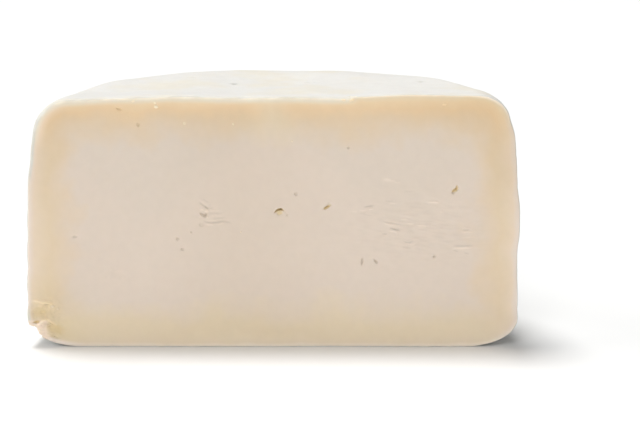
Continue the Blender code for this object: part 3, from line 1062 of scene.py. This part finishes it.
def rind_finish(material):
    """The skin: a cool ivory, faintly stained, with painted shade in its pinholes, a cream tint and
    painted shade along the cut, and a little less shine than the paste.
    """
    material.use_nodes = True
    tree = material.node_tree
    place = add(tree, "ShaderNodeTexCoord", {})["Object"]
    stain = step_up(tree, grouped(tree, mottle, place, STAIN_SIZE), *STAIN_COVER)
    colour = blend(tree, stain, shade(RIND_COLOUR), shade(RIND_STAIN))
    colour = freckled(tree, colour, place, RIND_FRECKLES)
    # A cream tint with painted shade on the rind close to the cut.
    back = add(tree, "ShaderNodeSeparateXYZ", {0: place})[1]
    far, near = RIND_EDGE_REACH
    near_edge = step_up(tree, back, CUT_Y + far, CUT_Y + near)
    colour = blend(tree, near_edge, colour, shade(RIND_EDGE_TINT_AND_SHADE), "MULTIPLY")
    # Painted shade in the pinholes.
    colour = blend(tree, point_value(tree, "hollow_tan_and_shade"), colour, shade(PINHOLE_SHADE_COLOUR))
    finish_surface(material, colour, place, RIND_GRAIN, RIND_FINISH)


def mark_depths(mesh):
    """Keeps, at each point, how deep it lies below the skin, by moving it back to the true wheel."""
    true_places = np.array([vert.co - (pressed(vert.co) - vert.co) for vert in mesh.vertices])
    depths, _ = below_skin(true_places)
    keep_on_points(mesh, "rind_depth", depths)


mottle = mottle_group()
grain_height = grain_group()
mark_depths(cheese.data)
rind_finish(cheese.data.materials[RIND])
paste_finish(cheese.data.materials[PASTE])
bpy.ops.object.select_all(action="DESELECT")
cheese.select_set(True)
bpy.context.view_layer.objects.active = cheese
bpy.ops.object.shade_smooth_by_angle(angle=SHARP_ANGLE)
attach(cheese, "root")
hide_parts("cheese_half")


# The crumbs. Dry bits of paste that the knife dragged over the cut and left stuck to it, pale as
# the skin and made paler by painted highlight. Each is a small flattened lump, half sunk where it
# lies, and all are joined in one.
CRUMB_FLATNESS = 0.45
CRUMB_DETAIL = 3
CRUMB_DEPTH = 0.0026
# Each crumb: place across and up, half width, half height, slant and how pale, laid on as painted
# highlight.
CRUMBS = (
    (-0.0463, 0.0989, 0.0008, 0.0006, 0, 1.0),
    (-0.0467, 0.1004, 0.0005, 0.0004, 0, 1.0),
    (-0.0554, 0.1010, 0.0007, 0.0004, 0, 0.8),
    (0.0687, 0.0998, 0.0008, 0.0004, 0, 0.8),
    (-0.0350, 0.0922, 0.0005, 0.0007, 0, 0.2),
    (-0.0156, 0.0920, 0.0004, 0.0005, 0, 0.3),
    (0.0079, 0.0851, 0.0004, 0.0004, 0, 0.4),
    (-0.0129, 0.0479, 0.0003, 0.0003, 0, 0.4),
    (-0.0897, 0.0169, 0.0006, 0.0005, 0, 0.0),
    (-0.0877, 0.0160, 0.0005, 0.0005, 30, 0.0),
    (0.0319, 0.1016, 0.0010, 0.0006, 10, 1.0),
    (0.0286, 0.1014, 0.0008, 0.0005, -10, 1.0),
)

bits = []
for across, up, half_width, half_height, slant, tone in CRUMBS:
    _, place, _, _ = cheese.ray_cast((across, 2 * CUT_Y, up), (0, 1, 0))
    thickness = CRUMB_FLATNESS * min(half_width, half_height)
    bit = rough_lump(place, (half_width, thickness, half_height), (0, -slant, 0), CRUMB_DETAIL)
    # Each crumb's paleness goes on through the ridges' painted highlight.
    for name, value in (("rind_depth", CRUMB_DEPTH), ("hollow_tan_and_shade", 0.0), ("relief_light_and_shade", tone)):
        keep_on_points(bit.data, name, np.full(len(bit.data.vertices), value))
    bits.append(bit)
bpy.ops.object.select_all(action="DESELECT")
for bit in bits:
    bit.select_set(True)
crumbs = bits[0]
bpy.context.view_layer.objects.active = crumbs
bpy.ops.object.join()
crumbs.name = "cheese_crumbs"
put_back(crumbs.data, np.clip(coordinates(crumbs.data), cad_low, cad_high))
bpy.ops.object.shade_smooth_by_angle(angle=SHARP_ANGLE)
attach(crumbs, "root")


# The table and the light. A plain white table under wide soft light from above and behind, with
# weaker lights from the left, from above the front, from low in front and from the right, all of
# it seen by someone at the table.
TABLE_SIZE = 6.0
TABLE_COLOUR = (236, 236, 235)
TABLE_ROUGHNESS = 0.6
WHITE = (1.0, 1.0, 1.0, 1.0)
SKY_STRENGTH = 0.14
# Each light: strength, and its spread, lean to the front and turn in degrees.
LIGHTS = (
    (2.62, 22, -16, 45),
    (0.85, 30, 62, -98),
    (0.62, 24, 42, -12),
    (1.12, 60, 76, -15),
    (0.22, 40, 66, 100),
)
# The eye: its place, its look down in degrees, and its view's width and reach in picture points.
EYE_PLACE = (0.0191, -0.80, 0.205)
EYE_DOWN = 11.557
SENSOR_WIDTH = 36.0
PICTURE_WIDTH = 640
PICTURE_REACH = 1897

bpy.ops.mesh.primitive_plane_add(size=TABLE_SIZE)
table = bpy.context.object
table.name = "table"
table.data.materials.append(bpy.data.materials.new("white table"))
table.data.materials[0].use_nodes = True
table_finish = table.data.materials[0].node_tree.nodes["Principled BSDF"]
table_finish.inputs["Base Color"].default_value = shade(TABLE_COLOUR)
table_finish.inputs["Roughness"].default_value = TABLE_ROUGHNESS

for energy, spread, lean, turn in LIGHTS:
    bpy.ops.object.light_add(type="SUN", rotation=(math.radians(lean), 0, math.radians(turn)))
    bpy.context.object.data.energy = energy
    bpy.context.object.data.angle = math.radians(spread)

sky = bpy.data.worlds.new("soft room")
sky.use_nodes = True
sky.node_tree.nodes["Background"].inputs["Color"].default_value = WHITE
sky.node_tree.nodes["Background"].inputs["Strength"].default_value = SKY_STRENGTH
bpy.context.scene.world = sky
bpy.context.scene.view_settings.view_transform = "Standard"

bpy.ops.object.camera_add(location=EYE_PLACE, rotation=(math.radians(90 - EYE_DOWN), 0, 0))
camera = bpy.context.object
camera.data.sensor_width = SENSOR_WIDTH
camera.data.lens = SENSOR_WIDTH * PICTURE_REACH / PICTURE_WIDTH
bpy.context.scene.camera = camera
